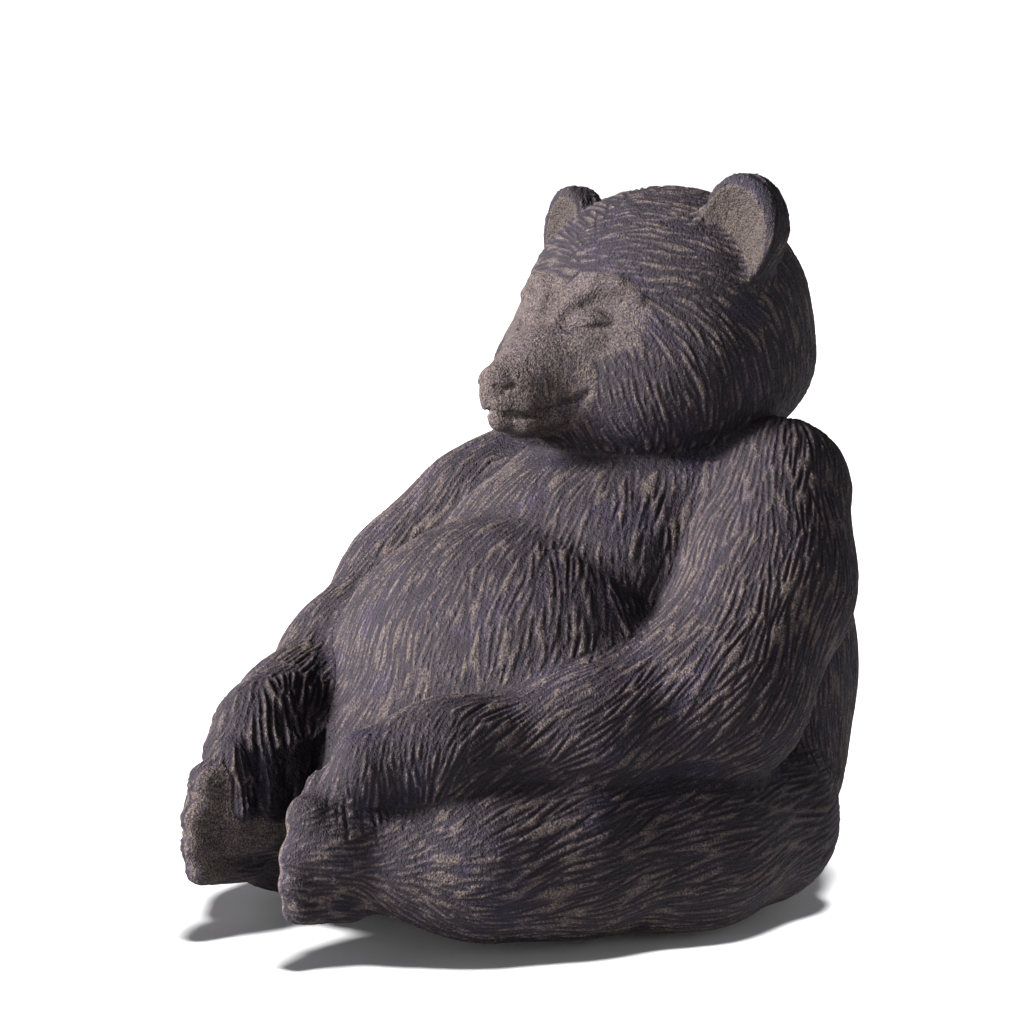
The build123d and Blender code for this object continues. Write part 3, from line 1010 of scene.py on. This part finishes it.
def ranged(tree, value, low, high, new_low=0.0, new_high=1.0):
    """Stretches low to high over new_low to new_high, and holds the ends."""
    made = node(tree, "ShaderNodeMapRange", clamp=True)
    feed(tree, made.inputs["Value"], value)
    made.inputs["From Min"].default_value = low
    made.inputs["From Max"].default_value = high
    made.inputs["To Min"].default_value = new_low
    made.inputs["To Max"].default_value = new_high
    return made.outputs["Result"]


def mixed(tree, share, one, two):
    """One colour over another by a share."""
    made = node(tree, "ShaderNodeMix", data_type="RGBA")
    sockets = {s.identifier: s for s in made.inputs}
    feed(tree, sockets["Factor_Float"], share)
    for key, colour in (("A_Color", one), ("B_Color", two)):
        if not isinstance(colour, bpy.types.NodeSocket):
            colour = (*colour, 1.0)
        feed(tree, sockets[key], colour)
    return next(s for s in made.outputs if s.identifier == "Result_Color")


def own(tree, name, vector=False):
    """Reads one of the piece's own attributes."""
    made = node(tree, "ShaderNodeAttribute", attribute_name=name)
    return made.outputs["Vector" if vector else "Fac"]


def bumped(tree, height, distance, strength=1.0):
    """Normals of a relief that is distance deep."""
    made = node(tree, "ShaderNodeBump")
    made.inputs["Strength"].default_value = strength
    made.inputs["Distance"].default_value = distance
    feed(tree, made.inputs["Height"], height)
    return made.outputs[0]


def added(tree, *layers):
    """Sum of values, each given with its weight."""
    total = None
    for value, weight in layers:
        part = value if weight == 1.0 else sum_of(tree, "MULTIPLY", value, weight)
        total = part if total is None else sum_of(tree, "ADD", total, part)
    return total


# colours of the carved wood, with a painted highlight, painted shade and a painted sheen among them
# pale tan: dust on the ridges, and the painted highlight along their crests
RIDGE_DUST_AND_HIGHLIGHT = (0.066, 0.051, 0.043)
BODY = (0.0158, 0.0111, 0.0158)
# painted shade: near black, laid into the cuts and the low grains
PAINTED_SHADE = (0.0032, 0.0023, 0.0042)
# painted purple sheen, laid in patches at random
INDIGO_SHEEN = (0.0185, 0.0135, 0.031)
DISH = (0.030, 0.0235, 0.0185)


def dust_and_highlight_on(tree, groove, speck, streak, cloud):
    """Where pale dust and a painted highlight show: specks and streaks, mostly on the ridges, whose
    crests are painted lighter, in drifts.
    """
    # painted highlight: the crests between the cuts, where the light catches, count most
    crest = ranged(tree, groove, 0.22, 0.60, 1.0, 0.0)
    specks, streaks = ranged(tree, speck, 0.42, 0.60), ranged(tree, streak, 0.38, 0.66)
    dust_and_highlight = added(tree, (specks, 1.0), (streaks, 0.6))
    ridges = sum_of(tree, "ADD", 0.12, sum_of(tree, "MULTIPLY", crest, 0.88))
    dust_and_highlight = sum_of(tree, "MULTIPLY", dust_and_highlight, ridges)
    drifts = ranged(tree, cloud, 0.3, 0.7, 0.5, 1.0)
    return sum_of(tree, "MULTIPLY", dust_and_highlight, drifts, clamp=True)


def carved_wood():
    """Dark stained wood, dry and speckled, with pale dust and a painted highlight on the ridges,
    painted shade near black in the cuts and the low grains, and patches of painted purple sheen.
    """
    made, tree, base = shader("carved_wood")
    where = node(tree, "ShaderNodeTexCoord").outputs["Object"]
    groove, pale = own(tree, "groove"), own(tree, "pale")
    speck = noise(tree, where, 1250.0, 3.0, 0.7)
    sand = noise(tree, where, 2100.0, 2.0, 0.6)
    grit = noise(tree, where, 620.0, 2.0, 0.6)
    streak = noise(tree, own(tree, "comb", True), 800.0, 2.0, 0.6)
    dust_and_highlight = dust_and_highlight_on(tree, groove, speck, streak, noise(tree, where, 38.0, 3.0, 0.6))
    # painted sheen: indigo patches at random stand in for a purple sheen
    sheen_patches = ranged(tree, noise(tree, where, 75.0, 2.0, 0.5), 0.50, 0.70, 0.0, 0.8)
    colour = mixed(tree, dust_and_highlight, mixed(tree, sheen_patches, BODY, INDIGO_SHEEN), RIDGE_DUST_AND_HIGHLIGHT)
    dished = sum_of(tree, "MULTIPLY", pale, ranged(tree, speck, 0.35, 0.6, 0.2, 0.95))
    colour = mixed(tree, dished, colour, DISH)
    # painted shade in the cuts, darkest where a point lies deepest in its cut
    colour = mixed(tree, ranged(tree, groove, 0.45, 0.95, 0.0, 0.75), colour, PAINTED_SHADE)
    # painted shade in the low spots of the fine sand relief, which the bump below also uses
    colour = mixed(tree, ranged(tree, sand, 0.54, 0.38, 0.0, 0.85), colour, PAINTED_SHADE)
    feed(tree, base.inputs["Base Color"], colour)
    feed(tree, base.inputs["Roughness"], ranged(tree, dust_and_highlight, 0.0, 1.0, 0.70, 0.90))
    base.inputs["Specular IOR Level"].default_value = 0.12
    pits = ranged(tree, grit, 0.30, 0.50)
    relief = added(tree, (speck, 0.5), (streak, 0.6), (sand, 1.0), (pits, 0.5))
    feed(tree, base.inputs["Normal"], bumped(tree, relief, 0.56 * MM, 1.0))
    return made


def dowel_wood():
    """Bare turned beech: long grain, short dark flecks."""
    made, tree, base = shader("dowel_wood")
    where = node(tree, "ShaderNodeTexCoord").outputs["Object"]
    grain = noise(tree, mapped(tree, where, (1.0, 1.0, 0.12)), 420.0, 4.0, 0.6)
    fleck = noise(tree, mapped(tree, where, (1.0, 1.0, 0.3)), 1300.0, 1.0, 0.5)
    colour = mixed(tree, ranged(tree, grain, 0.35, 0.7), (0.60, 0.44, 0.28), (0.42, 0.28, 0.16))
    colour = mixed(tree, ranged(tree, fleck, 0.62, 0.72, 0.0, 0.6), colour, (0.25, 0.15, 0.08))
    feed(tree, base.inputs["Base Color"], colour)
    feed(tree, base.inputs["Roughness"], ranged(tree, grain, 0.3, 0.7, 0.55, 0.72))
    feed(tree, base.inputs["Normal"], bumped(tree, grain, 0.15 * MM, 0.6))
    return made


def black_felt():
    """Black wool felt: matted fibres and a faint dusty bloom."""
    made, tree, base = shader("black_felt")
    where = node(tree, "ShaderNodeTexCoord").outputs["Object"]
    fibre = noise(tree, where, 1600.0, 4.0, 0.7)
    mat = noise(tree, where, 260.0, 3.0, 0.6)
    colour = mixed(tree, ranged(tree, fibre, 0.42, 0.70), (0.014, 0.014, 0.017), (0.045, 0.043, 0.048))
    colour = mixed(tree, ranged(tree, mat, 0.5, 0.75, 0.0, 0.5), colour, (0.060, 0.057, 0.060))
    feed(tree, base.inputs["Base Color"], colour)
    feed(tree, base.inputs["Roughness"], ranged(tree, mat, 0.3, 0.7, 0.88, 0.98))
    base.inputs["Sheen Weight"].default_value = 0.25
    base.inputs["Sheen Roughness"].default_value = 0.5
    feed(tree, base.inputs["Normal"], bumped(tree, fibre, 0.25 * MM, 0.8))
    return made


def pad_rings(low, high):
    """Rings of the pad from its underside to its top: share of the outline, bulge, height."""
    tall = high - low
    inner = (0.25, 0.5, 0.75, 0.9)
    edge = ((0.0, 0.0), (0.15, 0.35), (0.35, 0.75), (0.5, 1.0), (0.65, 0.75), (0.85, 0.35), (1.0, 0.0))
    rings = [(share, 0.0, low) for share in inner]
    rings += [(1.0, bulge, low + tall * (0.04 + 0.92 * t)) for t, bulge in edge]
    return rings + [(share, 0.0, high) for share in reversed(inner)]


def ring_faces(rings, around):
    """Faces of a closed form: a point, rings of points, and a point."""
    end = rings * around + 1
    faces = [(0, 1 + (i + 1) % around, 1 + i) for i in range(around)]
    for a in range(1, end - around, around):
        b = a + around
        faces += [(a + i, a + (i + 1) % around, b + (i + 1) % around, b + i) for i in range(around)]
    last = end - around
    return faces + [(last + i, last + (i + 1) % around, end) for i in range(around)]


def felt_pad(felt):
    """Soft-edged felt under the seat, inside the box of its CAD plate."""
    low, high = (np.array(corner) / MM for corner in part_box("seat_pad"))
    middle, half = (low + high) / 2, (high - low) / 2
    around = 160
    rng = np.random.default_rng(SEED + 1)
    turn = np.linspace(0, 2 * np.pi, around, endpoint=False)
    waves = zip((7, 13, 23, 31), (0.25, 0.2, 0.15, 0.1), rng.uniform(0, 6.28, 4))
    wave = sum(much * np.sin(times * turn + start) for times, much, start in waves)
    c, s = np.cos(turn), np.sin(turn)
    outline = (np.abs(c) ** PAD_SQUARE + np.abs(s) ** PAD_SQUARE) ** (-1 / PAD_SQUARE)
    rings = pad_rings(low[2], high[2])
    co = [(middle[0], middle[1], low[2])]
    for share, bulge, z in rings:
        inset = 0.9 - 0.6 * bulge - 0.3 * wave
        x = middle[0] + c * outline * (half[0] - inset) * share
        y = middle[1] + s * outline * (half[1] - inset) * share
        co += list(zip(x, y, np.full(around, z)))
    co.append((middle[0], middle[1], high[2]))
    mesh = mesh_of("felt_pad", co, ring_faces(len(rings), around))
    mesh.polygons.foreach_set("use_smooth", np.ones(len(mesh.polygons), bool))
    mesh.materials.append(felt)
    obj = linked("felt_pad", mesh)
    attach(obj, "root")
    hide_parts("seat_pad")
    return obj


def dress_dowels(wood):
    """The CAD dowels stay, with a proper wood on them."""
    for name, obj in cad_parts.items():
        if name.endswith("_dowel"):
            obj.data.materials.clear()
            obj.data.materials.append(wood)


# ---------------------------------------------------------------- the studio
def white_floor():
    """Wide white floor on which everything stands."""
    made, tree, base = shader("studio_white")
    base.inputs["Base Color"].default_value = (0.75, 0.75, 0.755, 1)
    base.inputs["Roughness"].default_value = 0.9
    mesh = bpy.data.meshes.new("studio_floor")
    far = 12.0
    corners = [(-far, -far, 0), (far, -far, 0), (far, far, 0), (-far, far, 0)]
    mesh.from_pydata(corners, [], [(0, 1, 2, 3)])
    mesh.update()
    mesh.materials.append(made)
    floor = linked("studio_floor", mesh)
    return floor


def surroundings():
    """White all round, and dark overhead so that the lamps shape the figure."""
    world = bpy.data.worlds.new("studio")
    world.use_nodes = True
    tree = world.node_tree
    height = node(tree, "ShaderNodeSeparateXYZ")
    feed(tree, height.inputs[0], node(tree, "ShaderNodeTexCoord").outputs["Generated"])
    overhead = ranged(tree, height.outputs["Z"], 0.30, 0.55)
    sky = mixed(tree, overhead, (1.1, 1.1, 1.1), (0.06, 0.06, 0.075))
    feed(tree, tree.nodes["Background"].inputs[0], sky)
    bpy.context.scene.world = world


# the view: camera's turn from the front and its height, as angles and as directions
TURN, RISE = math.radians(48), math.radians(6)
RIGHT = Vector((math.cos(TURN), math.sin(TURN), 0))
BACK = Vector((math.sin(TURN) * math.cos(RISE), -math.cos(TURN) * math.cos(RISE), math.sin(RISE)))
AWAY = 0.95                 # camera to the middle of the view
LENS = 115.9                # mm


def sun(name, towards, power, width, colour, only):
    """A sun width degrees wide that lights only the given objects."""
    lamp = bpy.data.lights.new(name, "SUN")
    lamp.energy = power
    lamp.angle = math.radians(width)
    lamp.color = colour
    obj = bpy.data.objects.new(name, lamp)
    bpy.context.scene.collection.objects.link(obj)
    obj.rotation_euler = towards.to_track_quat("Z", "Y").to_euler()
    lit = bpy.data.collections.new(name + "_lights")
    for other in only:
        lit.objects.link(other)
    obj.light_linking.receiver_collection = lit
    return obj


def lights(pieces, floor):
    """A wide key low on the left, a weak fill in front, and a wash on the floor alone."""
    low_left = -RIGHT * 0.92 + BACK * 0.24 + Vector((0, 0, 0.44))
    sun("key", low_left, 27.5, 20, (1.0, 0.985, 0.97), pieces)
    sun("fill", Vector((-0.15, -1.0, 0.12)), 6.5, 50, (1, 1, 1), pieces)
    sun("wash", RIGHT * 0.06 + BACK * 0.30 + Vector((0, 0, 1.0)), 7.5, 14, (1, 1, 1), [floor])


def camera():
    """Long lens at the view's angle, aimed a little off the middle of the CAD box."""
    box_middle = (Vector(cad_low) + Vector(cad_high)) / 2
    aim = box_middle - RIGHT * 0.0095 + Vector((0, 0.008, 0.0075))
    lens = bpy.data.cameras.new("camera")
    lens.lens = LENS
    lens.sensor_width = 36
    lens.clip_start = 0.01
    obj = bpy.data.objects.new("camera", lens)
    bpy.context.scene.collection.objects.link(obj)
    obj.location = aim + BACK * AWAY
    obj.rotation_euler = BACK.to_track_quat("Z", "Y").to_euler()
    bpy.context.scene.camera = obj


camera()
floor = white_floor()
surroundings()
bpy.context.scene.view_settings.view_transform = "Standard"
pieces = carve_figure(carved_wood())
pieces.append(felt_pad(black_felt()))
dress_dowels(dowel_wood())
lights(pieces, floor)
